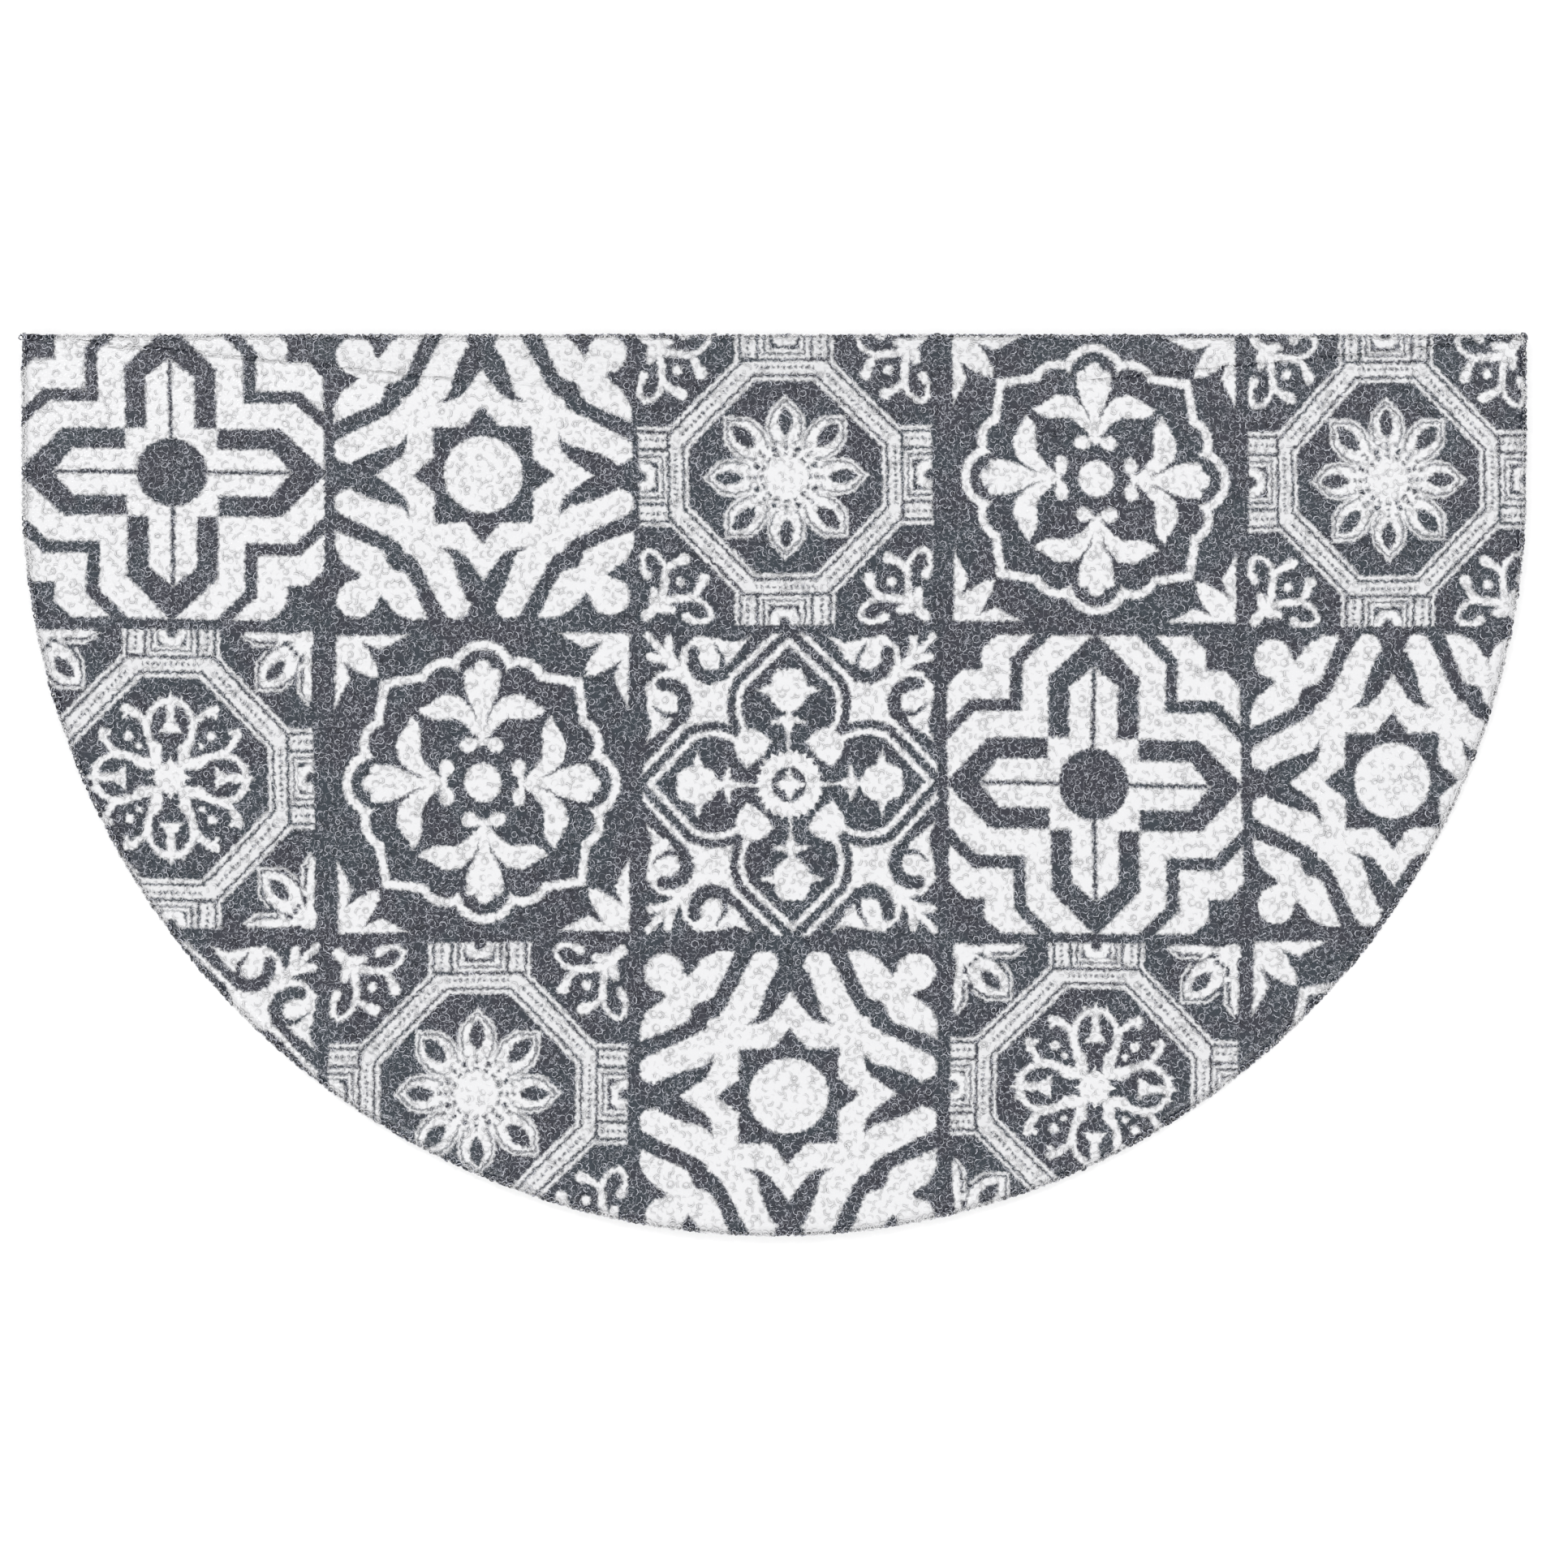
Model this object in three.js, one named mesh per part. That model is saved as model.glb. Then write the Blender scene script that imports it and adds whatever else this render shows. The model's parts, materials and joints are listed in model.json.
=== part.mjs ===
// Half round doormat of looped plastic filament, one piece with a cut edge, lying flat.
// Millimetres, +Z up. The origin is on the floor, under the middle of the mat's outline.
// The straight edge lies at +Y, towards the door, and the arc bulges towards -Y.

import * as THREE from "three";

// Driving dimensions
const WIDTH = 750; // the straight edge, from side to side
const DEPTH = 450; // from the straight edge to the far point of the arc
const THICKNESS = 10; // from the floor to the highest loops on top

// The cut edge, where the filament shows as two staggered rows of loops
const LOOP_PITCH = 6;
const LOOP_RELIEF = 1.1; // how far the edge falls back between two loops
const LOOP_RELIEF_SPREAD = 0.6; // the share by which that varies from loop to loop
const LOWER_ROW_HEIGHT = 0.35 * THICKNESS;
const UPPER_ROW_HEIGHT = 0.75 * THICKNESS;

// The top, which is even but softly lumpy
const LUMP_SPACING = 18;
const LUMP_DROP = 0.8; // from the highest lumps to the lowest
const TOP_EDGE_INSET = 2; // where the top starts, inside the outline
const FEWEST_RING_POINTS = 6; // of the small rings near the middle

// The underside, a flat face with a coarser inner ring
const FOOT_INSET = 0.8;
const UNDERSIDE_RING_SHARE = 0.9;
const UNDERSIDE_RING_SPACING = 30;

const CHARCOAL_AND_WHITE_MEAN = 0x949699;
const PLASTIC_ROUGHNESS = 0.5;

// Derived sizes
const ARC_RADIUS = WIDTH / 2;
const SIDE_LENGTH = DEPTH - ARC_RADIUS;
const BACK_Y = DEPTH / 2;
const ARC_CENTRE_Y = BACK_Y - SIDE_LENGTH;
const RING_CENTRE = new THREE.Vector2(0, SIDE_LENGTH / 2);

// The outline runs anticlockwise from the back right corner, as seen from above.
function makeOutline() {
  const path = new THREE.Path();
  path.moveTo(ARC_RADIUS, BACK_Y);
  path.lineTo(-ARC_RADIUS, BACK_Y);
  path.lineTo(-ARC_RADIUS, ARC_CENTRE_Y);
  path.absarc(0, ARC_CENTRE_Y, ARC_RADIUS, Math.PI, 2 * Math.PI, false);
  path.lineTo(ARC_RADIUS, BACK_Y);
  return path;
}

const outline = makeOutline();
const outlineLength = outline.getLength();

// A number from 0 to 1 that looks random and is the same for the same row and place.
function scatter(row, place) {
  const mixed = Math.sin(row * 12.9898 + place * 78.233) * 43758.5453;
  return mixed - Math.floor(mixed);
}

// The outline's point at a share of its length, moved inwards by inset.
function edgePoint(share, inset) {
  const point = outline.getPoint(share);
  const tangent = outline.getTangent(share);
  const inwards = new THREE.Vector2(-tangent.y, tangent.x);
  return point.addScaledVector(inwards, inset);
}

// A closed ring of points just inside the outline; insetAt gives each point's inset.
function edgeRing(count, height, insetAt) {
  const ring = [];
  for (let i = 0; i < count; i += 1) {
    const point = edgePoint(i / count, insetAt(i));
    ring.push(new THREE.Vector3(point.x, point.y, height));
  }
  return ring;
}

// A row of loops: every second point is a crest on the outline, the rest fall back.
function loopRing(row, count, height) {
  return edgeRing(count, height, (i) => {
    if (i % 2 === row % 2) {
      return 0;
    }
    return LOOP_RELIEF * (1 - LOOP_RELIEF_SPREAD * scatter(row, i));
  });
}

// The outline drawn smaller about the ring centre, with about one point per spacing.
function innerRing(scale, spacing, heightAt) {
  const count = Math.max(FEWEST_RING_POINTS, Math.round((outlineLength * scale) / spacing));
  const ring = [];
  for (let i = 0; i < count; i += 1) {
    const point = edgePoint(i / count, TOP_EDGE_INSET);
    point.sub(RING_CENTRE).multiplyScalar(scale).add(RING_CENTRE);
    ring.push(new THREE.Vector3(point.x, point.y, heightAt(i)));
  }
  return ring;
}

// The softly lumpy top, ring by ring from the edge to the middle.
function topRings() {
  const ringCount = Math.round(ARC_RADIUS / LUMP_SPACING);
  const rings = [];
  for (let k = 1; k < ringCount; k += 1) {
    const lump = (i) => THICKNESS - LUMP_DROP * scatter(k, i);
    rings.push(innerRing(1 - k / ringCount, LUMP_SPACING, lump));
  }
  const middle = new THREE.Vector3(RING_CENTRE.x, RING_CENTRE.y, THICKNESS - LUMP_DROP);
  rings.push([middle]);
  return rings;
}

// Joins two rings, of any two counts, with triangles that face out.
function stitch(faces, lower, lowerStart, upper, upperStart) {
  const lowerCount = lower.length;
  const upperCount = upper.length;
  const lowerSteps = lowerCount > 1 ? lowerCount : 0;
  const upperSteps = upperCount > 1 ? upperCount : 0;
  let i = 0;
  let j = 0;
  while (i < lowerSteps || j < upperSteps) {
    const a = lowerStart + (i % lowerCount);
    const b = upperStart + (j % upperCount);
    const lowerIsNext = (i + 1) / lowerCount <= (j + 1) / upperCount;
    if (j >= upperSteps || (i < lowerSteps && lowerIsNext)) {
      i += 1;
      faces.push(a, lowerStart + (i % lowerCount), b);
    } else {
      j += 1;
      faces.push(a, upperStart + (j % upperCount), b);
    }
  }
}

// One closed body from a stack of rings, from the underside's middle to the top's.
function bodyFromRings(rings) {
  const positions = [];
  const starts = [];
  for (const ring of rings) {
    starts.push(positions.length / 3);
    for (const point of ring) {
      positions.push(point.x, point.y, point.z);
    }
  }
  const faces = [];
  for (let k = 0; k + 1 < rings.length; k += 1) {
    stitch(faces, rings[k], starts[k], rings[k + 1], starts[k + 1]);
  }
  const geometry = new THREE.BufferGeometry();
  geometry.setAttribute("position", new THREE.Float32BufferAttribute(positions, 3));
  geometry.setIndex(faces);
  geometry.computeVertexNormals();
  return geometry;
}

function matGeometry() {
  const edgeCount = 2 * Math.round(outlineLength / LOOP_PITCH);
  const onFloor = () => 0;
  return bodyFromRings([
    [new THREE.Vector3(RING_CENTRE.x, RING_CENTRE.y, 0)],
    innerRing(UNDERSIDE_RING_SHARE, UNDERSIDE_RING_SPACING, onFloor),
    edgeRing(edgeCount, 0, () => FOOT_INSET),
    loopRing(0, edgeCount, LOWER_ROW_HEIGHT),
    loopRing(1, edgeCount, UPPER_ROW_HEIGHT),
    edgeRing(edgeCount / 2, THICKNESS - LUMP_DROP, () => TOP_EDGE_INSET),
    ...topRings(),
  ]);
}

const plastic = new THREE.MeshStandardMaterial({
  color: CHARCOAL_AND_WHITE_MEAN,
  roughness: PLASTIC_ROUGHNESS,
  metalness: 0,
});

const mat = new THREE.Mesh(matGeometry(), plastic);
mat.name = "mat";

const doormat = new THREE.Group();
doormat.name = "half_round_doormat";
doormat.add(mat);

export default doormat;
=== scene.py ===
import json
import math

import bpy
import numpy as np
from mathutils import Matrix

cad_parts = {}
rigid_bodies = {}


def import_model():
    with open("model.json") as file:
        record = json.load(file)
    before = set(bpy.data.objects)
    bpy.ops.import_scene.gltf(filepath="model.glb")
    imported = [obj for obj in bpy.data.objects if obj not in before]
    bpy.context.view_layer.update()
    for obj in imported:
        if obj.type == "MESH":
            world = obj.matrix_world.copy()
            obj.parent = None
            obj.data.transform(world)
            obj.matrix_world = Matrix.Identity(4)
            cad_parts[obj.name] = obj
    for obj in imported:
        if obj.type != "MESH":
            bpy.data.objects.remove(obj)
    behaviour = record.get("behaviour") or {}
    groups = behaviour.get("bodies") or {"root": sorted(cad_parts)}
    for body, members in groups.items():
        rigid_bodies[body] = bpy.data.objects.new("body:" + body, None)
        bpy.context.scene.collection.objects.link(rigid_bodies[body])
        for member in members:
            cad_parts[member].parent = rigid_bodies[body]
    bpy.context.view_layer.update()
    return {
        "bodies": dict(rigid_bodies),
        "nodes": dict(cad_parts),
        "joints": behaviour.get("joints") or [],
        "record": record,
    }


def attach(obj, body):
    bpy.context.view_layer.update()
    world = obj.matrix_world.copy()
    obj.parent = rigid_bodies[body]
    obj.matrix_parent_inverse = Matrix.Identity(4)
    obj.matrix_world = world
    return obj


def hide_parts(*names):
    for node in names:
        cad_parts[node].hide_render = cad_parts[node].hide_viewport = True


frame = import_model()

MM = 0.001

# The mat's sizes in millimetres, as in the frame
WIDTH = 750.0
DEPTH = 450.0
THICKNESS = 10.0
ARC_RADIUS = WIDTH / 2
BACK_Y = DEPTH / 2
ARC_CENTRE_Y = BACK_Y - (DEPTH - ARC_RADIUS)

# The tiles of the print: the middle of each column and row, and which motif each has
COLUMNS = (-300.5, -145.3, 7.5, 160.5, 309.0)
ROWS = (155.2, 1.1, -153.8)
LAYOUT = (
    ("cross", "sun", "octagon", "scallop", "octagon"),
    ("rosette", "scallop", "ogee", "cross", "sun"),
    ("ogee", "octagon", "sun", "rosette", "scallop"),
)
TILE_HALF = 73.3

# How each tile of the print lies off the even grid, in mm, and its size against the usual one
SHIFT_X = (
    (0.8, 0.4, -2.1, -1.1, -4.2),
    (0.8, 0.6, 0.6, -1.1, -1.5),
    (0.4, -1.7, 0.2, -0.8, 3.5),
)
SHIFT_Y = (
    (0.4, -1.5, -1.5, -3.1, -3.8),
    (2.5, -0.2, -0.2, -0.8, 0.8),
    (2.9, 0.2, -0.2, 3.4, 1.5),
)
SCALE_X = (
    (1.03, 1.01, 0.995, 0.955, 0.945),
    (0.973, 0.988, 0.995, 0.995, 0.95),
    (1.0, 1.012, 1.008, 0.97, 1.022),
)
SCALE_Y = (
    (0.99, 0.97, 1.002, 0.965, 1.0),
    (1.008, 1.008, 1.022, 1.01, 0.985),
    (1.0, 1.015, 0.982, 0.977, 1.017),
)

# The print's inks and the filament's colours, each with a second one that it drifts to
CHARCOAL = ((0.020, 0.021, 0.032), (0.019, 0.028, 0.038))
# Painted shade: the charcoal darkened deep in the tangle, where the gaps between loops lie in shadow
CHARCOAL_PAINTED_SHADE = (0.014, 0.014, 0.019)
# Light strands in the charcoal: partly bare filament, partly painted highlights along the filament's
# crests
BARE_STRAND_AND_HIGHLIGHT = (0.42, 0.43, 0.48)
WHITE = ((0.585, 0.585, 0.60), (0.615, 0.615, 0.615))
# Painted shade: grey flecks where the white lies in shadow between loops
WHITE_SHADE_FLECK = (0.50, 0.50, 0.52)
# Painted light: deep white filament lifted brighter to offset the shade between the loops
WHITE_PAINTED_LIFT = (0.62, 0.62, 0.63)
COIL = ((0.64, 0.64, 0.66), (0.70, 0.70, 0.69))
# Painted shade: the dark gaps between the coil's ridges
COIL_GAP_SHADE = (0.26, 0.26, 0.28)
FLOOR = ((0.93, 0.93, 0.93), (0.96, 0.96, 0.96))
DRIFT = (0.35, 0.65)

# Heights above the floor between which a colour comes in, in metres
INK_COMES_IN = (4.5 * MM, 6.6 * MM)
# Painted shade: the heights over which the charcoal darkens into its deep shade
CHARCOAL_SHADE_COMES_IN = (8.8 * MM, 7.4 * MM)
# Painted light: the heights over which the deep white is lifted
WHITE_LIFT_COMES_IN = (9.8 * MM, 9.1 * MM)

# The ink's edge, in millimetres: how far it strays, and half of the width that it fades over
INK_STRAYS = 4.0
INK_FADES = 0.7

# Where a pattern turns into a mark: nothing at the first value, the whole mark at the second
BLOTCH_LIMITS = (0.4, 0.6)
CURL_LIMITS = (0.028, 0.006)
STRAND_LIMITS = (0.68, 0.88)
FLECK_LIMITS = (0.54, 0.64)
COIL_LIMITS = (0.0, 0.45)

PRINT_ROUGHNESS = 0.24
COIL_ROUGHNESS = 0.3
FLOOR_ROUGHNESS = 0.8

# How many times a pattern of the materials repeats in a metre, roughly
STRAY_SCALE = 520.0
BLOTCH_SCALE = 45.0
FLECK_SCALE = 1100.0
CURL_SCALE = 400.0
WHITE_DRIFT_SCALE = 22.0
COIL_DRIFT_SCALE = 60.0
COIL_SCALES = (250.0, 330.0)
FLOOR_SCALE = 6.0

CAMERA_PLACE = (4.9 * MM, 0.6 * MM, 1.849)
FLOOR_HALF = 4.0
ROOM_LIGHT = 0.86
LAMP_SIZE = 0.5
LAMPS = (
    ("back_left", (-1.3, 1.4, 2.3), 20.0),
    ("back_right", (1.3, 1.4, 2.3), 17.5),
    ("front_left", (-1.3, -1.4, 2.3), 17.0),
    ("front_right", (1.3, -1.4, 2.3), 15.0),
)

random = np.random.default_rng(20)


# The camera, straight above the mat
lens = bpy.data.cameras.new("camera")
lens.lens = 85
lens.sensor_width = 36
lens.clip_end = 20
camera = bpy.data.objects.new("camera", lens)
camera.location = CAMERA_PLACE
bpy.context.scene.collection.objects.link(camera)
bpy.context.scene.camera = camera
bpy.context.scene.view_settings.view_transform = "Standard"


class Field:
    """A value in a material's nodes, with the arithmetic that the motifs are written in."""

    tree = None

    def __init__(self, socket):
        self.socket = socket

    @classmethod
    def calculate(cls, operation, *inputs):
        node = cls.tree.nodes.new("ShaderNodeMath")
        node.operation = operation
        for slot, value in zip(node.inputs, inputs):
            if isinstance(value, Field):
                cls.tree.links.new(value.socket, slot)
            else:
                slot.default_value = value
        return cls(node.outputs[0])

    def __add__(self, other):
        return Field.calculate("ADD", self, other)

    def __sub__(self, other):
        return Field.calculate("SUBTRACT", self, other)

    def __rsub__(self, other):
        return Field.calculate("SUBTRACT", other, self)

    def __mul__(self, other):
        return Field.calculate("MULTIPLY", self, other)

    def __neg__(self):
        return Field.calculate("MULTIPLY", self, -1.0)

    def __abs__(self):
        return Field.calculate("ABSOLUTE", self)

    def low(self, other):
        return Field.calculate("MINIMUM", self, other)

    def high(self, other):
        return Field.calculate("MAXIMUM", self, other)

    def root(self):
        return Field.calculate("SQRT", self)

    def cos(self):
        return Field.calculate("COSINE", self)

    def angle(self, other):
        """The angle whose sine goes with this value and whose cosine goes with the other."""
        return Field.calculate("ARCTAN2", self, other)

    def pingpong(self, size):
        """A zigzag between 0 and size."""
        return Field.calculate("PINGPONG", self, size)

    def soft(self, other, size):
        """The lower of two values, rounded where they meet."""
        return Field.calculate("SMOOTH_MIN", self, other, size)

    def step(self, start, end):
        """0 below start, 1 above end, and a ramp between them."""
        node = Field.tree.nodes.new("ShaderNodeMapRange")
        Field.tree.links.new(self.socket, node.inputs["Value"])
        node.inputs["From Min"].default_value = start
        node.inputs["From Max"].default_value = end
        return Field(node.outputs["Result"])


# The motifs. Each gives the distance from the edge of its ink, in millimetres and negative in
# the ink, at x and y from the middle of the tile. u and v are along and across the nearest
# axis of the tile, p and q along and across the nearest diagonal.
HALF_ROOT = 0.7071
COS_22 = 0.924
SIN_22 = 0.383


def low(first, *rest):
    for other in rest:
        first = first.low(other)
    return first


def high(first, *rest):
    for other in rest:
        first = first.high(other)
    return first


def length(x, y):
    return (x * x + y * y).root()


def disc(u, v, at, radius):
    return length(u - at[0], v - at[1]) - radius


def past(u, v, at, to):
    """How far a place lies to the right of the line from at to to."""
    du, dv = to[0] - at[0], to[1] - at[1]
    size = (du * du + dv * dv) ** 0.5
    return u * (dv / size) - v * (du / size) - (at[0] * dv - at[1] * du) / size


def hull(u, v, corners):
    """The convex shape with these corners, given anticlockwise."""
    return high(*[past(u, v, at, to) for at, to in zip(corners, corners[1:] + corners[:1])])


def stroke(u, v, at, to):
    """A straight stroke between two rows of (along, across, half width)."""
    du, dv, dr = to[0] - at[0], to[1] - at[1], to[2] - at[2]
    square = du * du + dv * dv
    share = u * (du / square) + v * (dv / square) - (at[0] * du + at[1] * dv) / square
    share = share.high(0.0).low(1.0)
    return length(u - at[0] - share * du, v - at[1] - share * dv) - (share * dr + at[2])


def brush(u, v, rows):
    """A stroke of changing width through rows of (along, across, half width)."""
    return low(*[stroke(u, v, at, to) for at, to in zip(rows, rows[1:])])


def oval(u, v, at, half_long, half_wide):
    """A pointed oval whose long axis lies along u."""
    radius = (half_long**2 + half_wide**2) / (2 * half_wide)
    return length(u - at[0], abs(v - at[1]) + (radius - half_wide)) - radius


def line(d, at, half):
    """A line of the given half width where the distance d equals at."""
    return abs(d - at) - half


def beads(d, along, at, pitch, radius):
    """A row of dots on the line where the distance d equals at."""
    return length(along.pingpong(pitch / 2), d - at) - radius


def folded(x, y):
    """Along the nearest axis and across it, then along the nearest diagonal and across."""
    ax, ay = abs(x), abs(y)
    u, v = ax.high(ay), ax.low(ay)
    return u, v, (u + v) * HALF_ROOT, (u - v) * HALF_ROOT


def cross(x, y):
    """A four-armed cross in a stepped band."""
    u, v, p, q = folded(x, y)
    arm = high(v - 11.8, past(u, v, (57.5, 0.0), (47.8, 11.8)))
    band = high(v - 22.3, p - 53.0, -arm, 22.3 - u)
    hub = length(x, y) - 17.5
    spoke = high(v - 1.1, u - 57.0)
    step = line(high(v - 38.4, p - 70.0), 0.0, 3.1)
    corner = low(56.0 - v, past(u, v, (66.0, 56.0), (72.0, 49.5)))
    return low(band, hub, spoke, step, corner)


SUN_BAND = (
    (80.0, 20.0, 4.0),
    (62.0, 28.2, 3.8),
    (54.0, 31.6, 3.7),
    (48.0, 34.6, 3.9),
    (44.5, 38.0, 4.7),
    (43.0, 43.0, 4.9),
)
SUN_ARM = (
    (38.0, 32.0, 7.0),
    (46.0, 23.2, 8.6),
    (52.0, 20.4, 7.2),
    (59.0, 17.6, 6.7),
    (67.4, 13.4, 6.5),
)
SUN_TIP = ((67.4, 11.5, 5.0), (65.8, 6.4, 0.6))
SUN_CORNER = ((74.5, 27.3), (73.2, 36.0), (69.5, 43.5), (60.3, 50.3), (50.0, 50.0), (44.0, 40.0))


def sun(x, y):
    """A round hub in a star, with forked arms and a leaf in each corner."""
    u, v, p, q = folded(x, y)
    body = (u - 37.0).soft(past(u, v, (53.5, 0.0), (40.0, 9.4)), 9.0)
    arm = low(brush(u, v, SUN_ARM), stroke(u, v, *SUN_TIP))
    lobe = disc(u, v, (62.1, 62.1), 9.6)
    neck = high(q - 7.1, p - 82.0, 60.0 - p)
    white = low(body, arm, lobe, neck, hull(u, v, SUN_CORNER))
    band = brush(u, v, SUN_BAND)
    star = low(u - 24.3, past(u, v, (35.0, 0.0), (24.0, 8.8)))
    star = high(star, 19.3 - length(x, y))
    return low(-white, band, star)


SCALLOP_PETAL = ((53.4, -9.2), (53.4, 9.2), (46.5, 8.7), (41.0, 7.0), (33.0, 3.0), (33.0, -3.0))
SCALLOP_LEAF = (
    (23.0, 1.6, 1.7),
    (28.0, 4.8, 2.7),
    (33.5, 9.0, 4.2),
    (36.6, 13.5, 5.4),
    (36.8, 18.3, 6.0),
    (35.2, 24.3, 4.4),
    (34.9, 28.5, 2.3),
    (35.6, 31.2, 0.8),
)
SCALLOP_BLADE = ((74.4, 36.0), (74.4, 70.0), (70.0, 60.8), (66.2, 51.5))
SCALLOP_SPEAR = ((75.0, 0.0, 0.8), (79.5, 0.0, 3.6), (86.0, 0.0, 5.4), (98.0, 0.0, 8.0))


def scallop(x, y):
    """Four three-leaf sprays in a scalloped line."""
    u, v, p, q = folded(x, y)
    edge = low(
        disc(u, v, (53.0, 0.0), 16.7),
        disc(u, v, (47.3, 19.2), 13.8),
        past(u, v, (53.8, 31.0), (50.9, 50.0)),
    )
    petal = low(
        hull(u, v, SCALLOP_PETAL),
        disc(u, v, (52.9, 6.4), 2.8),
        disc(u, v, (55.4, 0.0), 4.4),
        stroke(u, v, (19.5, 0.0, 1.6), (36.0, 0.0, 3.2)),
    )
    leaf = brush(u, v, SCALLOP_LEAF)
    ball = low(oval(v, u, (6.8, 18.2), 4.5, 3.6), stroke(u, v, (20.0, 0.0, 1.5), (19.0, 5.0, 1.6)))
    corner = low(hull(u, v, SCALLOP_BLADE), brush(p, q, SCALLOP_SPEAR))
    white = low(line(edge, -2.1, 2.1), length(x, y) - 9.3, petal, leaf, ball, corner)
    return -white


OGEE_SCROLL = (
    (75.0, 6.8, 2.0),
    (66.0, 18.2, 2.0),
    (58.5, 27.8, 2.2),
    (53.4, 34.0, 3.3),
    (52.0, 40.5, 3.5),
    (54.3, 45.8, 3.5),
    (59.0, 48.4, 3.3),
    (64.0, 48.4, 3.1),
)
OGEE_TENDRIL = ((56.5, 33.5, 1.8), (62.5, 33.8, 1.2), (68.3, 38.0, 0.5))
OGEE_HEART = (
    (20.0, -3.0),
    (21.5, -9.2),
    (28.0, -8.6),
    (33.0, -6.4),
    (35.4, -2.5),
    (35.4, 2.5),
    (33.0, 6.4),
    (28.0, 8.6),
    (21.5, 9.2),
    (20.0, 3.0),
)
OGEE_FINGER = ((56.5, 56.0, 1.9), (62.0, 60.3, 2.2), (70.0, 61.3, 2.0))
OGEE_SPADE = (
    (56.4, -5.5),
    (56.4, 5.5),
    (54.3, 7.3),
    (49.0, 9.2),
    (43.0, 9.0),
    (39.0, 6.8),
    (35.6, 1.6),
    (35.6, -1.6),
)
OGEE_FIELD = (
    (30.0, 25.0),
    (68.5, 27.0),
    (70.5, 35.0),
    (72.0, 47.0),
    (66.0, 54.0),
    (56.0, 56.3),
    (30.0, 56.3),
)
OGEE_SPUR = ((71.5, 20.0), (68.5, 29.0), (58.0, 36.0), (52.0, 36.0))
OGEE_THORN = ((49.0, 8.0), (46.3, 16.2), (43.4, 8.0))
OGEE_BAR = ((33.0, 0.0, 1.2), (31.5, 4.0, 1.6), (30.6, 8.4, 0.5))


def ogee(x, y):
    """Four pointed arches round a toothed hub, with scrolls in the corners."""
    u, v, p, q = folded(x, y)
    flank = past(u, v, (67.8, 0.0), (50.1, 19.1))
    shoulder = (u - 38.5) * -0.875 + (v - 4.0) * 0.485
    petal = flank.high(disc(u, v, (38.5, 4.0), 19.9).low(shoulder * 30.0))
    frame = low(high(line(petal, 1.4, 1.4), 26.0 - u), high(line(petal, 8.45, 1.25), 45.0 - u))
    radius = length(x, y)
    gear = radius - 16.4 - (y.angle(x) * 24.0).cos() * 0.9
    star = high(v + u * 0.55 - 4.4, radius - 7.9)
    hub = high(gear, low(8.9 - radius, star))
    palm = low(
        hull(u, v, OGEE_SPADE),
        hull(u, v, OGEE_THORN),
        brush(u, v, OGEE_BAR),
        stroke(u, v, (36.5, 0.0, 1.5), (32.0, 0.0, 1.5)),
        stroke(u, v, (31.0, 0.0, 3.2), (24.0, 0.0, 0.6)),
        stroke(u, v, (24.0, 0.0, 0.7), (16.0, 0.0, 0.7)),
    )
    heart = hull(p, q, OGEE_HEART)
    scroll = low(brush(u, v, OGEE_SCROLL), brush(u, v, OGEE_TENDRIL))
    sprig = low(stroke(p, q, (80.0, 0.0, 1.8), (101.0, 0.0, 1.8)), brush(u, v, OGEE_FINGER))
    ground = low(hull(u, v, OGEE_FIELD), hull(u, v, OGEE_SPUR), line(petal, 8.45, 1.25))
    field = high(7.2 - petal, -scroll, ground)
    white = low(frame, hub, palm, heart, field, sprig)
    return -white


def tiled_frame(u, v, p, q, side, slant, width):
    """The white band round an octagon, which runs on to the tile's edges as two bars each side."""
    inner = high(u - side, p - slant)
    bar = high(abs(v - 17.8) - 6.9, side + 8.0 - u)
    outer = low(high(u - side - 12.6, p - slant - width), bar)
    middle = slant + width / 2
    marks = low(
        line(inner, 2.6, 0.8),
        high(line(outer, -2.5, 0.85), 4.0 - inner),
        high(abs(v - 13.9) - 0.6, side + 10.5 - u),
        high(beads(p, q, middle, 2.9, 0.8), q - 22.5),
        high(beads(u, v, side + 6.6, 2.9, 0.8), v - 14.5),
        high(beads(v, u, 18.2, 2.9, 0.85), side + 12.0 - u),
    )
    niche = high(v - 10.6, side + 12.6 - u)
    dome = length((u - 73.0) * 0.8, v)
    arch = low(high(line(niche, -2.0, 0.85), niche), high(dome - 7.2, 65.5 - u, 3.0 - dome))
    return low(high(outer, -inner, -marks, -0.6), arch)


OCTAGON_BRANCH = (
    (50.8, 41.0, 2.8),
    (55.0, 42.8, 1.9),
    (58.8, 45.0, 1.6),
    (60.4, 48.0, 1.7),
    (60.9, 55.0, 1.9),
    (62.0, 62.0, 2.0),
)
OCTAGON_CURL = (
    (60.4, 47.0, 1.4),
    (61.8, 42.0, 1.2),
    (65.0, 38.4, 1.2),
    (69.4, 36.8, 1.2),
    (72.0, 39.8, 1.4),
    (72.2, 45.0, 1.4),
    (69.8, 49.4, 2.2),
)
OCTAGON_LEAF = ((66.4, 57.0, 1.9), (65.6, 61.0, 2.6), (64.6, 65.0, 2.8))


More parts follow.
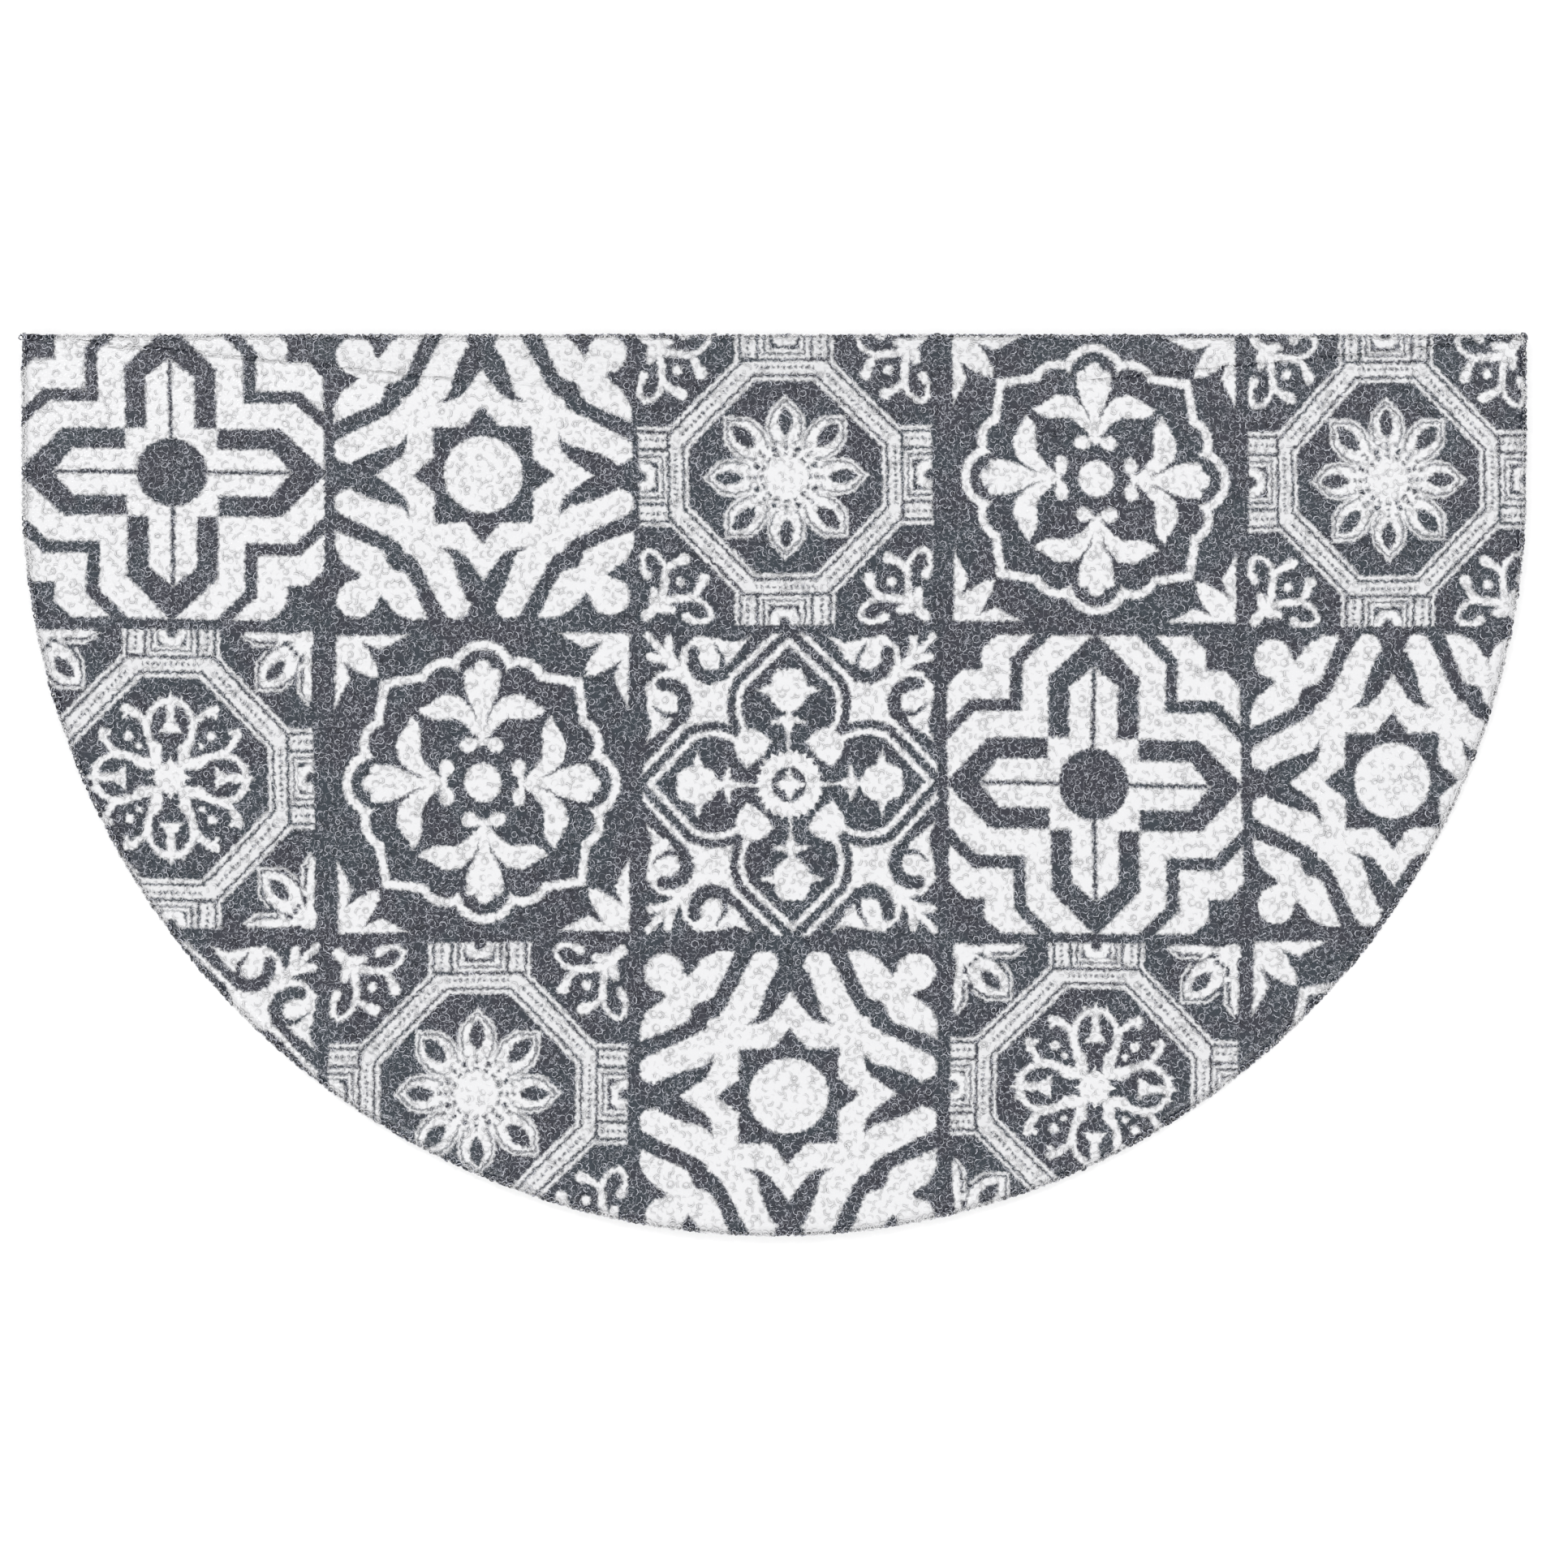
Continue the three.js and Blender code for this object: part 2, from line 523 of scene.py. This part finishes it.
def octagon(x, y):
    """A flower of eight petals in an octagon, with a sprig in each corner."""
    u, v, p, q = folded(x, y)
    frame = tiled_frame(u, v, p, q, side=48.2, slant=44.3, width=13.8)
    petals = low(
        high(oval(u, v, (25.8, 0.0), 13.2, 7.2), (u + abs(v) - 38.0) * HALF_ROOT),
        high(oval(p, q, (27.6, 0.0), 13.4, 7.4), (p + abs(q) - 39.8) * HALF_ROOT),
    )
    eyes = low(
        length(u - 28.2, abs(v) + 6.0) - 9.6,
        length(p - 29.4, abs(q) + 6.0) - 10.0,
    )
    radius, angle = length(x, y), y.angle(x)
    along = u * COS_22 + v * SIN_22
    between = length(v * COS_22 - u * SIN_22, along - 15.2) - 1.5
    burst = radius - 20.6 + (angle * 8.0).cos() * 1.2
    dashes = high(line(radius, 11.9, 0.7), -(angle * 16.0).cos())
    ring = high(line(radius, 18.0, 0.6), 0.5 - (angle * 24.0).cos())
    gaps = low(dashes, between, ring, disc(u, v, (15.2, 0.0), 1.0), disc(p, q, (15.4, 0.0), 1.0))
    gaps = low(gaps, high(line(petals, 0.8, 0.4), 18.5 - radius))
    flower = high(low(petals, burst), -eyes, -gaps)
    flower = low(flower, high(line(petals, 1.7, 0.65), 18.5 - radius))
    sprig = low(
        brush(u, v, OCTAGON_BRANCH),
        brush(u, v, OCTAGON_CURL),
        brush(u, v, OCTAGON_LEAF),
        stroke(p, q, (90.0, 0.0, 2.2), (98.4, 0.0, 2.8)),
        disc(u, v, (52.7, 52.7), 2.3),
    )
    return -low(frame, flower, sprig)


ROSETTE_ARM = (
    (6.0, 6.6, 2.5),
    (14.4, 7.4, 3.1),
    (18.0, 9.9, 1.9),
    (24.0, 11.6, 1.9),
    (28.8, 12.8, 1.7),
    (31.0, 16.2, 1.7),
    (33.2, 19.2, 2.0),
    (34.2, 22.6, 2.1),
)
ROSETTE_LOOP = (
    (25.0, 11.0, 1.5),
    (30.0, 11.0, 1.5),
    (33.8, 9.4, 1.5),
    (36.6, 6.4, 1.6),
    (38.2, 3.2, 1.7),
    (38.4, 0.0, 1.9),
)
ROSETTE_STRIP = (
    (71.6, 39.0, 1.1),
    (70.6, 44.0, 1.9),
    (70.6, 52.0, 2.1),
    (70.2, 60.0, 1.7),
    (69.6, 66.0, 2.4),
)
ROSETTE_TAIL = ((66.4, 52.0, 0.7), (66.2, 43.0, 0.7), (71.0, 36.5, 0.5))
ROSETTE_RIM = ((43.9, 43.9, 0.6), (57.0, 43.9, 0.6), (63.0, 48.6, 0.5))


def rosette(x, y):
    """A rosette of four loops in an octagon, with a leaf in each corner."""
    u, v, p, q = folded(x, y)
    frame = tiled_frame(u, v, p, q, side=50.0, slant=45.8, width=14.8)
    loop = low(
        brush(u, v, ROSETTE_LOOP),
        stroke(u, v, (38.4, 0.0, 1.9), (42.4, 0.0, 0.4)),
        stroke(u, v, (37.0, 5.2, 1.5), (40.2, 5.8, 0.5)),
    )
    tee = low(high(abs(v) - 2.1, line(u, 33.0, 5.6)), high(line(u, 25.2, 2.6), v + u * 0.72 - 22.1))
    arm = low(brush(u, v, ROSETTE_ARM), stroke(u, v, (33.6, 20.4, 1.3), (30.4, 23.0, 1.1)))
    dot = low(disc(p, q, (29.4, 0.0), 2.3), disc(p, q, (22.4, 0.0), 1.6))
    hub = low(length(x, y) - 8.0, high(v * 2.4 + u - 11.0, v - 6.0))
    leaf = disc(p, q, (79.0, -7.8), 15.8)
    petal = high(leaf, -disc(p, q, (76.4, -5.6), 9.0))
    petal = low(petal, brush(u, v, ROSETTE_RIM), stroke(p, q, (87.0, 0.0, 3.4), (97.6, 0.0, 4.8)))
    petal = high(petal, -disc(p, q, (89.6, 1.6), 1.3))
    strip = low(
        brush(u, v, ROSETTE_STRIP),
        brush(u, v, ROSETTE_TAIL),
        stroke(u, v, (63.5, 53.6, 1.3), (69.6, 57.0, 1.6)),
    )
    strip = high(strip, 0.8 - leaf)
    return -low(frame, loop, tee, arm, dot, hub, petal, strip)


MOTIFS = {motif.__name__: motif for motif in (cross, sun, scallop, ogee, octagon, rosette)}


def new_material(name):
    """A material whose nodes the following calls add to, and its shader."""
    material = bpy.data.materials.new(name)
    material.use_nodes = True
    Field.tree = material.node_tree
    return material, Field.tree.nodes["Principled BSDF"]


def node(kind, **settings):
    made = Field.tree.nodes.new(kind)
    for name, value in settings.items():
        setattr(made, name, value)
    return made


def join(start, end):
    Field.tree.links.new(start, end)


def object_place():
    return node("ShaderNodeTexCoord").outputs["Object"]


def noise(place, scale, detail=2.0):
    made = node("ShaderNodeTexNoise")
    made.inputs["Scale"].default_value = scale
    made.inputs["Detail"].default_value = detail
    join(place, made.inputs["Vector"])
    return made


def noise_field(place, scale, detail=2.0):
    return Field(noise(place, scale, detail).outputs["Fac"])


def parts(socket):
    """The three parts of a vector or colour."""
    made = node("ShaderNodeSeparateXYZ")
    join(socket, made.inputs[0])
    return [Field(output) for output in made.outputs]


def add_bump(shader, height, strength, distance):
    bump = node("ShaderNodeBump")
    bump.inputs["Strength"].default_value = strength
    bump.inputs["Distance"].default_value = distance
    join(height.socket, bump.inputs["Height"])
    join(bump.outputs["Normal"], shader.inputs["Normal"])


def mix(factor, first, second):
    """The first colour where the factor is 0, and the second where it is 1."""
    made = node("ShaderNodeMix", data_type="RGBA")
    join(factor.socket, made.inputs["Factor"])
    for slot, value in ((made.inputs["A"], first), (made.inputs["B"], second)):
        if isinstance(value, tuple):
            slot.default_value = (*value, 1.0)
        else:
            join(value, slot)
    return made.outputs["Result"]


def print_material(name, motif):
    """White filament with a motif in charcoal on its upper side, with painted shade and painted light
    by depth and painted highlights along the crests.
    """
    material, shader = new_material(name)
    place = object_place()
    attribute = node("ShaderNodeAttribute", attribute_name="tile_place")
    x, y, strand = parts(attribute.outputs["Vector"])
    stray_x, stray_y, _ = parts(noise(place, STRAY_SCALE).outputs["Color"])
    x = x + (stray_x - 0.5) * INK_STRAYS
    y = y + (stray_y - 0.5) * INK_STRAYS
    _, _, height = parts(place)
    distance = low(motif(x, y), TILE_HALF - abs(x).high(abs(y)))
    ink = distance.step(INK_FADES, -INK_FADES) * height.step(*INK_COMES_IN)

    # Charcoal, darker deep down as painted shade, with light strands and curls along the filament:
    # partly bare filament that shows through the ink, partly painted highlights on the crests
    dark = mix(noise_field(place, BLOTCH_SCALE, 3.0).step(*BLOTCH_LIMITS), *CHARCOAL)
    # Painted shade: the charcoal turns darker lower down between the loops
    dark = mix(height.step(*CHARCOAL_SHADE_COMES_IN), dark, CHARCOAL_PAINTED_SHADE)
    fleck = noise_field(place, FLECK_SCALE, 1.0)
    curl = abs(noise_field(place, CURL_SCALE, 1.0) - 0.5).step(*CURL_LIMITS)
    # Painted highlights, together with bare filament: light strokes on the crests and light curls
    bare_and_highlight = high(curl * 0.6, (strand + fleck * 0.9).step(*STRAND_LIMITS))
    dark = mix(bare_and_highlight, dark, BARE_STRAND_AND_HIGHLIGHT)

    # White, with small grey flecks of painted shade between the loops, fewer on the crests, and its
    # deep filament painted lighter
    pale = mix(noise_field(place, WHITE_DRIFT_SCALE).step(*DRIFT), *WHITE)
    # Painted shade: grey flecks in the gaps, held back on the lit crests
    pale = mix((fleck - strand * 0.15).step(*FLECK_LIMITS), pale, WHITE_SHADE_FLECK)
    # Painted light: the white is lifted lower down to offset the shade there
    pale = mix(height.step(*WHITE_LIFT_COMES_IN), pale, WHITE_PAINTED_LIFT)

    join(mix(ink, pale, dark), shader.inputs["Base Color"])
    shader.inputs["Roughness"].default_value = PRINT_ROUGHNESS
    add_bump(shader, fleck, strength=0.5, distance=0.5 * MM)
    return material


def coil_material(name):
    """Unprinted filament, for the foot of the rim and the underside, with painted shade in the gaps
    between its ridges.
    """
    material, shader = new_material(name)
    place = object_place()
    pale = mix(noise_field(place, COIL_DRIFT_SCALE, 3.0).step(*DRIFT), *COIL)
    ridges = []
    for scale in COIL_SCALES:
        cells = node("ShaderNodeTexVoronoi", feature="F1")
        cells.inputs["Scale"].default_value = scale
        join(place, cells.inputs["Vector"])
        ridges.append(1.0 - (abs(Field(cells.outputs["Distance"]) - 0.42) * 6.0).low(1.0))
    ridge = high(*ridges)
    # Painted shade: dark colour in the gaps between the ridges
    join(mix(ridge.step(*COIL_LIMITS), COIL_GAP_SHADE, pale), shader.inputs["Base Color"])
    shader.inputs["Roughness"].default_value = COIL_ROUGHNESS
    add_bump(shader, ridge, strength=0.8, distance=1.4 * MM)
    return material


def inside(x, y, inset):
    """Whether places lie inside the outline by more than an inset."""
    radius = np.hypot(x, y - ARC_CENTRE_Y)
    straight = (y >= ARC_CENTRE_Y) & (np.abs(x) < ARC_RADIUS - inset) & (y < BACK_Y - inset)
    return straight | ((y < ARC_CENTRE_Y) & (radius < ARC_RADIUS - inset))


def tile_of(x, y):
    """The column and row of the tile at each place."""
    column_edges = (np.array(COLUMNS[1:]) + np.array(COLUMNS[:-1])) / 2
    row_edges = (np.array(ROWS[1:]) + np.array(ROWS[:-1])) / 2
    column = np.searchsorted(column_edges, x)
    row = len(ROWS) - 1 - np.searchsorted(row_edges[::-1], y)
    return column, row


# The flat UV map: its margin as a share, and the gap between two parts in millimetres
UV_MARGIN = 0.01
UV_GAP = 20

# Each ring of filament: points along it, sides round it, and how oval it may be
LOOP_POINTS = 6
TUBE_SIDES = 3
SQUASH = (0.78, 1.0)

# The loops on top, in millimetres and degrees
LOOP_SPACING = 3.85
LOOP_JITTER = 0.35
TOP_INSET = 3.5
LOOP_RADIUS = (1.45, 2.05)
LOOP_TILT = (10, 42)
LOOP_TUBE = (0.42, 0.52)
LOOP_DROP = (0.0, 0.9)
LOOP_DROP_POWER = 1.3
BANDS = (-375.0, -200.0, -68.0, 68.0, 200.0, 375.0)

# The loops at the cut edge, and the rim's rows: height, spacing, least and most tilt
RIM_RADIUS = (1.3, 1.75)
RIM_TUBE = (0.42, 0.5)
RIM_TURN = 55
RIM_SET_BACK = 0.7
RIM_UNEVEN = 0.5
RIM_ROWS = (
    (2.3, 3.9, 50, 115),
    (5.0, 3.6, 50, 115),
    (7.2, 3.7, 50, 115),
    (8.8, 3.1, 8, 32),
)

# The core under the loops, and its side from foot to lip: height and further inset
CORE_INSET = 2.6
CORE_LAYER_INSET = CORE_INSET + 1.3
CORE_TOP = 8.8
CORE_TOP_SPACING = 3.2
CORE_FOOT = 0.25
CORE_FOOT_SPACING = 4.5
CORE_LUMP = 0.2
CORE_WAVE = 0.5
CORE_SIDE = ((0.4, 1.2), (2.6, 0.2), (5.2, 0.35), (7.2, -0.8), (CORE_TOP, -0.2))


def build_mesh(name, places, corners, sizes, materials, looks, tile_place, unrolled):
    """A mesh object from arrays in millimetres; sizes gives each face's number of corners."""
    mesh = bpy.data.meshes.new(name)
    mesh.vertices.add(len(places))
    mesh.vertices.foreach_set("co", (places * MM).astype(np.float32).ravel())
    mesh.loops.add(len(corners))
    mesh.loops.foreach_set("vertex_index", corners.astype(np.int32))
    starts = np.concatenate([[0], np.cumsum(sizes)[:-1]]).astype(np.int32)
    mesh.polygons.add(len(sizes))
    mesh.polygons.foreach_set("loop_start", starts)
    mesh.polygons.foreach_set("use_smooth", np.ones(len(sizes), bool))
    mesh.polygons.foreach_set("material_index", looks.astype(np.int32))
    for material in materials:
        mesh.materials.append(material)
    mesh.update(calc_edges=True)
    held = mesh.attributes.new("tile_place", "FLOAT_VECTOR", "CORNER")
    held.data.foreach_set("vector", tile_place.astype(np.float32).ravel())
    low_corner, high_corner = unrolled.min(axis=0), unrolled.max(axis=0)
    spread = (unrolled - low_corner) / (high_corner - low_corner) * (1 - 2 * UV_MARGIN) + UV_MARGIN
    layer = mesh.uv_layers.new(name="OFBake")
    layer.data.foreach_set("uv", spread.astype(np.float32).ravel())
    mesh.validate()
    made = bpy.data.objects.new(name, mesh)
    bpy.context.scene.collection.objects.link(made)
    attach(made, "root")
    return made


def rings(centres, radii, tilts, turns, tube):
    """Closed rings of filament, each tilted its own way.

    Returns their places, their quads and the path along the middle of each ring.
    """
    count = len(centres)
    along = np.arange(LOOP_POINTS) / LOOP_POINTS * 2 * math.pi
    lean = np.sin(tilts)
    normal = np.stack([lean * np.cos(turns), lean * np.sin(turns), np.cos(tilts)], -1)
    first = np.stack([-np.sin(turns), np.cos(turns), np.zeros(count)], -1)
    second = np.cross(normal, first)
    phase = random.uniform(0, 2 * math.pi, count)[:, None] + along
    to_first = first[:, None] * np.cos(phase)[..., None]
    to_second = second[:, None] * np.sin(phase)[..., None]
    squash = random.uniform(*SQUASH, count)[:, None, None]
    path = centres[:, None] + radii[:, None, None] * (to_first + squash * to_second)
    outward = to_first + to_second
    around = math.pi / 2 + np.arange(TUBE_SIDES) / TUBE_SIDES * 2 * math.pi
    out = np.cos(around)[:, None] * outward[:, :, None]
    up = np.sin(around)[:, None] * normal[:, None, None]
    places = path[:, :, None] + tube[:, None, None, None] * (out + up)
    index = np.arange(count * LOOP_POINTS * TUBE_SIDES).reshape(count, LOOP_POINTS, TUBE_SIDES)
    ahead = np.roll(index, -1, axis=1)
    quads = np.stack([index, ahead, np.roll(ahead, -1, axis=2), np.roll(index, -1, axis=2)], -1)
    return places.reshape(-1, 3), quads.reshape(-1, 4), path


def spread_places(spacing, inset):
    """Places on a jittered grid of triangles inside the outline."""
    rise = spacing * math.sqrt(3) / 2
    y, x = np.mgrid[-BACK_Y : BACK_Y : rise, -ARC_RADIUS : ARC_RADIUS : spacing]
    x = x + (np.arange(len(x)) % 2)[:, None] * spacing / 2
    x = (x + random.uniform(-LOOP_JITTER, LOOP_JITTER, x.shape) * spacing).ravel()
    y = (y + random.uniform(-LOOP_JITTER, LOOP_JITTER, y.shape) * spacing).ravel()
    keep = inside(x, y, inset)
    return x[keep], y[keep]


def drawn_by_hand(x, y):
    """The print's slight unevenness, as a shift in millimetres at each place."""
    return (
        0.7 * np.sin(y / 31.0 + 0.6) + 0.4 * np.sin(x / 19.0 + y / 47.0),
        0.7 * np.sin(x / 37.0 + 1.9) + 0.4 * np.sin(y / 23.0 - x / 53.0),
    )


def tile_places(places, x, y, strand):
    """Each place from the middle of its tile, and the strand's own number, as three columns."""
    column, row = tile_of(x, y)
    shift_x, shift_y = drawn_by_hand(places[:, 0], places[:, 1])
    across = places[:, 0] - np.array(COLUMNS)[column] + shift_x - np.array(SHIFT_X)[row, column]
    upward = places[:, 1] - np.array(ROWS)[row] + shift_y - np.array(SHIFT_Y)[row, column]
    across /= np.array(SCALE_X)[row, column]
    upward /= np.array(SCALE_Y)[row, column]
    return np.stack([across, upward, strand], -1), column, row


def crest_strand(corners, count):
    """A number that varies along each filament on its crest, and is 0 on its flanks; the print
    material places painted highlights and bare strands along the crests from it.
    """
    along = random.uniform(0, 1, count * LOOP_POINTS)[corners // TUBE_SIDES]
    return np.where(corners % TUBE_SIDES == 0, along, 0.0)


motif_names = sorted(MOTIFS)
motif_number = np.array([[motif_names.index(name) for name in row] for row in LAYOUT])
printed = [print_material("printed_" + name, MOTIFS[name]) for name in motif_names]
plain = coil_material("plain_coil")

loop_x, loop_y = spread_places(LOOP_SPACING, TOP_INSET)
loop_count = len(loop_x)
loop_radius = random.uniform(*LOOP_RADIUS, loop_count)
loop_tilt = np.radians(random.uniform(*LOOP_TILT, loop_count))
loop_turn = random.uniform(0, 2 * math.pi, loop_count)
loop_tube = random.uniform(*LOOP_TUBE, loop_count)
loop_top = THICKNESS - random.uniform(*LOOP_DROP, loop_count) ** LOOP_DROP_POWER
loop_z = loop_top - loop_radius * np.sin(loop_tilt) - loop_tube


def loops_piece(name, centres, radii, tilts, turns, tubes, unroll):
    """One mesh of printed rings; unroll gives where each corner lies in the flat UV map."""
    places, quads, path = rings(centres, radii, tilts, turns, tubes)
    corners = quads.ravel()
    owner = corners // (LOOP_POINTS * TUBE_SIDES)
    centre = centres[owner]
    strand = crest_strand(corners, len(centres))
    tile_place, column, row = tile_places(places[corners], centre[:, 0], centre[:, 1], strand)
    looks = motif_number[row, column].reshape(-1, 4)[:, 0]
    middle = path.reshape(-1, 3)[corners // TUBE_SIDES]
    side = corners % TUBE_SIDES - 1.0
    unrolled = unroll(owner, middle, side)
    sizes = np.full(len(quads), 4)
    return build_mesh(name, places, corners, sizes, printed, looks, tile_place, unrolled)


def top_piece(number):
    """The loops on top, in one of the bands from left to right."""
    chosen = (loop_x >= BANDS[number]) & (loop_x < BANDS[number + 1])
    centres = np.stack([loop_x, loop_y, loop_z], -1)[chosen]

    def unroll(owner, middle, side):
        outward = middle[:, :2] - centres[owner, :2]
        outward /= np.maximum(np.linalg.norm(outward, axis=1), 0.3)[:, None]
        return middle[:, :2] + outward * (side * 0.4)[:, None]

    shape = [values[chosen] for values in (loop_radius, loop_tilt, loop_turn, loop_tube)]
    return loops_piece(f"loops_{number + 1}", centres, *shape, unroll)


top_pieces = [top_piece(number) for number in range(len(BANDS) - 1)]


def outline_points(spacing, inset):
    """Places along the outline, moved inwards, their outward directions and how far along they lie.

    They run anticlockwise from the back right corner.
    """
    side = DEPTH - ARC_RADIUS
    total = WIDTH + 2 * side + math.pi * ARC_RADIUS
    count = int(round(total / spacing))
    along = (np.arange(count) + 0.5) / count * total
    x, y, nx, ny = (np.zeros(count) for _ in range(4))
    back = along < WIDTH
    x[back], y[back], ny[back] = ARC_RADIUS - along[back], BACK_Y, 1
    left = (along >= WIDTH) & (along < WIDTH + side)
    x[left], y[left], nx[left] = -ARC_RADIUS, BACK_Y - (along[left] - WIDTH), -1
    arc = (along >= WIDTH + side) & (along < total - side)
    angle = math.pi + (along[arc] - WIDTH - side) / ARC_RADIUS
    nx[arc], ny[arc] = np.cos(angle), np.sin(angle)
    x[arc], y[arc] = ARC_RADIUS * nx[arc], ARC_CENTRE_Y + ARC_RADIUS * ny[arc]
    right = along >= total - side
    x[right], y[right], nx[right] = ARC_RADIUS, BACK_Y - (total - along[right]), 1
    return x - nx * inset, y - ny * inset, nx, ny, along


def rim_row(height, spacing, least, most):
    """One row of loops at the cut edge: what rings wants, and how far along each loop lies."""
    x, y, nx, ny, along = outline_points(spacing, 0.0)
    count = len(x)
    radius = random.uniform(*RIM_RADIUS, count)
    tube = random.uniform(*RIM_TUBE, count)
    tilt = np.radians(random.uniform(least, most, count))
    facing = np.arctan2(ny, nx)
    turn = facing + np.radians(random.uniform(-RIM_TURN, RIM_TURN, count))
    lean = np.sqrt(1 - (np.sin(tilt) * np.cos(turn - facing)) ** 2)
    back = radius * lean + tube + random.uniform(0.0, RIM_SET_BACK, count)
    reach = radius * np.sin(tilt) + tube
    z = height + random.uniform(-RIM_UNEVEN, RIM_UNEVEN, count)
    z = np.clip(z, reach, THICKNESS - reach)
    centres = np.stack([x - nx * back, y - ny * back, z], -1)
    return centres, radius, tilt, turn, tube, along


def rim_piece():
    """Rows of loops that stand at the cut edge."""
    columns = [np.concatenate(column) for column in zip(*[rim_row(*row) for row in RIM_ROWS])]
    centres, along = columns[0], columns[-1]

    def unroll(owner, middle, side):
        angle = np.arctan2(middle[:, 2] - centres[owner, 2], 1.0)
        across = middle[:, 2] * 40 + side * 8
        return np.stack([along[owner] + side * 0.5 + angle, across], -1)

    return loops_piece("rim_loops", *columns[:-1], unroll)


rim = rim_piece()


def core_layer(spacing, height):
    """Rings of points that shrink to the middle at one height."""
    made = []
    middle_y = (BACK_Y + ARC_CENTRE_Y) / 2
    steps = int(ARC_RADIUS / spacing)
    for k in range(1, steps):
        share = 1 - k / steps
        x, y, _, _, _ = outline_points(spacing / share, CORE_LAYER_INSET)
        z = height + random.uniform(-CORE_LUMP, CORE_LUMP, len(x))
        made.append(np.stack([x * share, middle_y + (y - middle_y) * share, z], -1))
    made.append(np.array([[0.0, middle_y, height]]))
    return made


def stitched(lower_count, lower_start, upper_count, upper_start):
    """Triangles that join two rings of any two counts."""
    if lower_count == 1 or upper_count == 1:
        n = max(lower_count, upper_count)
        i = np.arange(n)
        if upper_count == 1:
            return np.stack([lower_start + i, lower_start + (i + 1) % n, np.full(n, upper_start)], -1)
        return np.stack([np.full(n, lower_start), upper_start + (i + 1) % n, upper_start + i], -1)
    lower_share = (np.arange(lower_count) + 1) / lower_count
    upper_share = (np.arange(upper_count) + 1) / upper_count
    share = np.concatenate([lower_share, upper_share])
    is_lower = np.concatenate([np.ones(lower_count, bool), np.zeros(upper_count, bool)])
    order = np.lexsort((~is_lower, share))
    is_lower = is_lower[order]
    i = np.cumsum(is_lower) - is_lower
    j = np.cumsum(~is_lower) - ~is_lower
    a = lower_start + i % lower_count
    b = upper_start + j % upper_count
    ahead_a = lower_start + (i + 1) % lower_count
    ahead_b = upper_start + (j + 1) % upper_count
    return np.stack([a, np.where(is_lower, ahead_a, ahead_b), b], -1)


def core_piece():
    """The closed body of packed filament under the top loops."""
    x, y, nx, ny, _ = outline_points(CORE_TOP_SPACING, CORE_INSET)
    flank = []
    for height, inset in CORE_SIDE:
        back = inset + random.uniform(0, CORE_WAVE, len(x))
        z = np.full(len(x), height)
        flank.append(np.stack([x - nx * back, y - ny * back, z], -1))
    top = core_layer(CORE_TOP_SPACING, CORE_TOP)
    bottom = core_layer(CORE_FOOT_SPACING, CORE_FOOT)
    stack = bottom[::-1] + flank + top
    places = np.concatenate(stack)
    starts = np.concatenate([[0], np.cumsum([len(ring) for ring in stack])])
    faces = []
    for k in range(len(stack) - 1):
        faces.append(stitched(len(stack[k]), starts[k], len(stack[k + 1]), starts[k + 1]))
    triangles = np.concatenate(faces)
    corners = triangles.ravel()
    spots = places[corners]
    centre = places[triangles].mean(axis=1).repeat(3, axis=0)
    strand = np.zeros(len(corners))
    tile_place, column, row = tile_places(spots, centre[:, 0], centre[:, 1], strand)

    # Only the lip and the top take the print; the lower side and the underside take the plain coil,
    # whose dark gaps paint the shade between the rim loops
    level = np.repeat(np.arange(len(stack) - 1), [len(face) for face in faces])
    looks = motif_number[row, column].reshape(-1, 3)[:, 0]
    looks[level < len(bottom) + len(CORE_SIDE) - 2] = len(printed)

    # In the flat UV map, the underside lies next to the top
    unrolled = spots[:, :2].copy()
    under = np.repeat(level < len(bottom) + 2, 3)
    unrolled[under, 1] -= DEPTH + UV_GAP
    sizes = np.full(len(triangles), 3)
    materials = [*printed, plain]
    return build_mesh("mat_core", places, corners, sizes, materials, looks, tile_place, unrolled)


core = core_piece()
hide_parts("mat")

# The floor
floor_mesh = bpy.data.meshes.new("floor")
floor_corners = [(x * FLOOR_HALF, y * FLOOR_HALF, 0) for x, y in ((-1, -1), (1, -1), (1, 1), (-1, 1))]
floor_mesh.from_pydata(floor_corners, [], [(0, 1, 2, 3)])
floor = bpy.data.objects.new("floor", floor_mesh)
bpy.context.scene.collection.objects.link(floor)
floor_material, floor_shader = new_material("pale_floor")
floor_colour = mix(noise_field(object_place(), FLOOR_SCALE, 3.0), *FLOOR)
join(floor_colour, floor_shader.inputs["Base Color"])
floor_shader.inputs["Roughness"].default_value = FLOOR_ROUGHNESS
floor_mesh.materials.append(floor_material)

# The light: a pale room and four soft lamps
world = bpy.data.worlds.new("room")
world.use_nodes = True
world.node_tree.nodes["Background"].inputs["Color"].default_value = (1.0, 1.0, 1.0, 1.0)
world.node_tree.nodes["Background"].inputs["Strength"].default_value = ROOM_LIGHT
bpy.context.scene.world = world


def lamp(name, place, power):
    """A square lamp that points at the middle of the mat."""
    light = bpy.data.lights.new(name, "AREA")
    light.size = LAMP_SIZE
    light.energy = power
    made = bpy.data.objects.new(name, light)
    made.location = place
    towards = -np.array(place)
    turn = math.atan2(towards[1], towards[0])
    lean = math.atan2(math.hypot(towards[0], towards[1]), -towards[2])
    made.rotation_euler = (lean, 0, turn - math.pi / 2)
    bpy.context.scene.collection.objects.link(made)


for lamp_name, lamp_place, lamp_power in LAMPS:
    lamp(lamp_name, lamp_place, lamp_power)
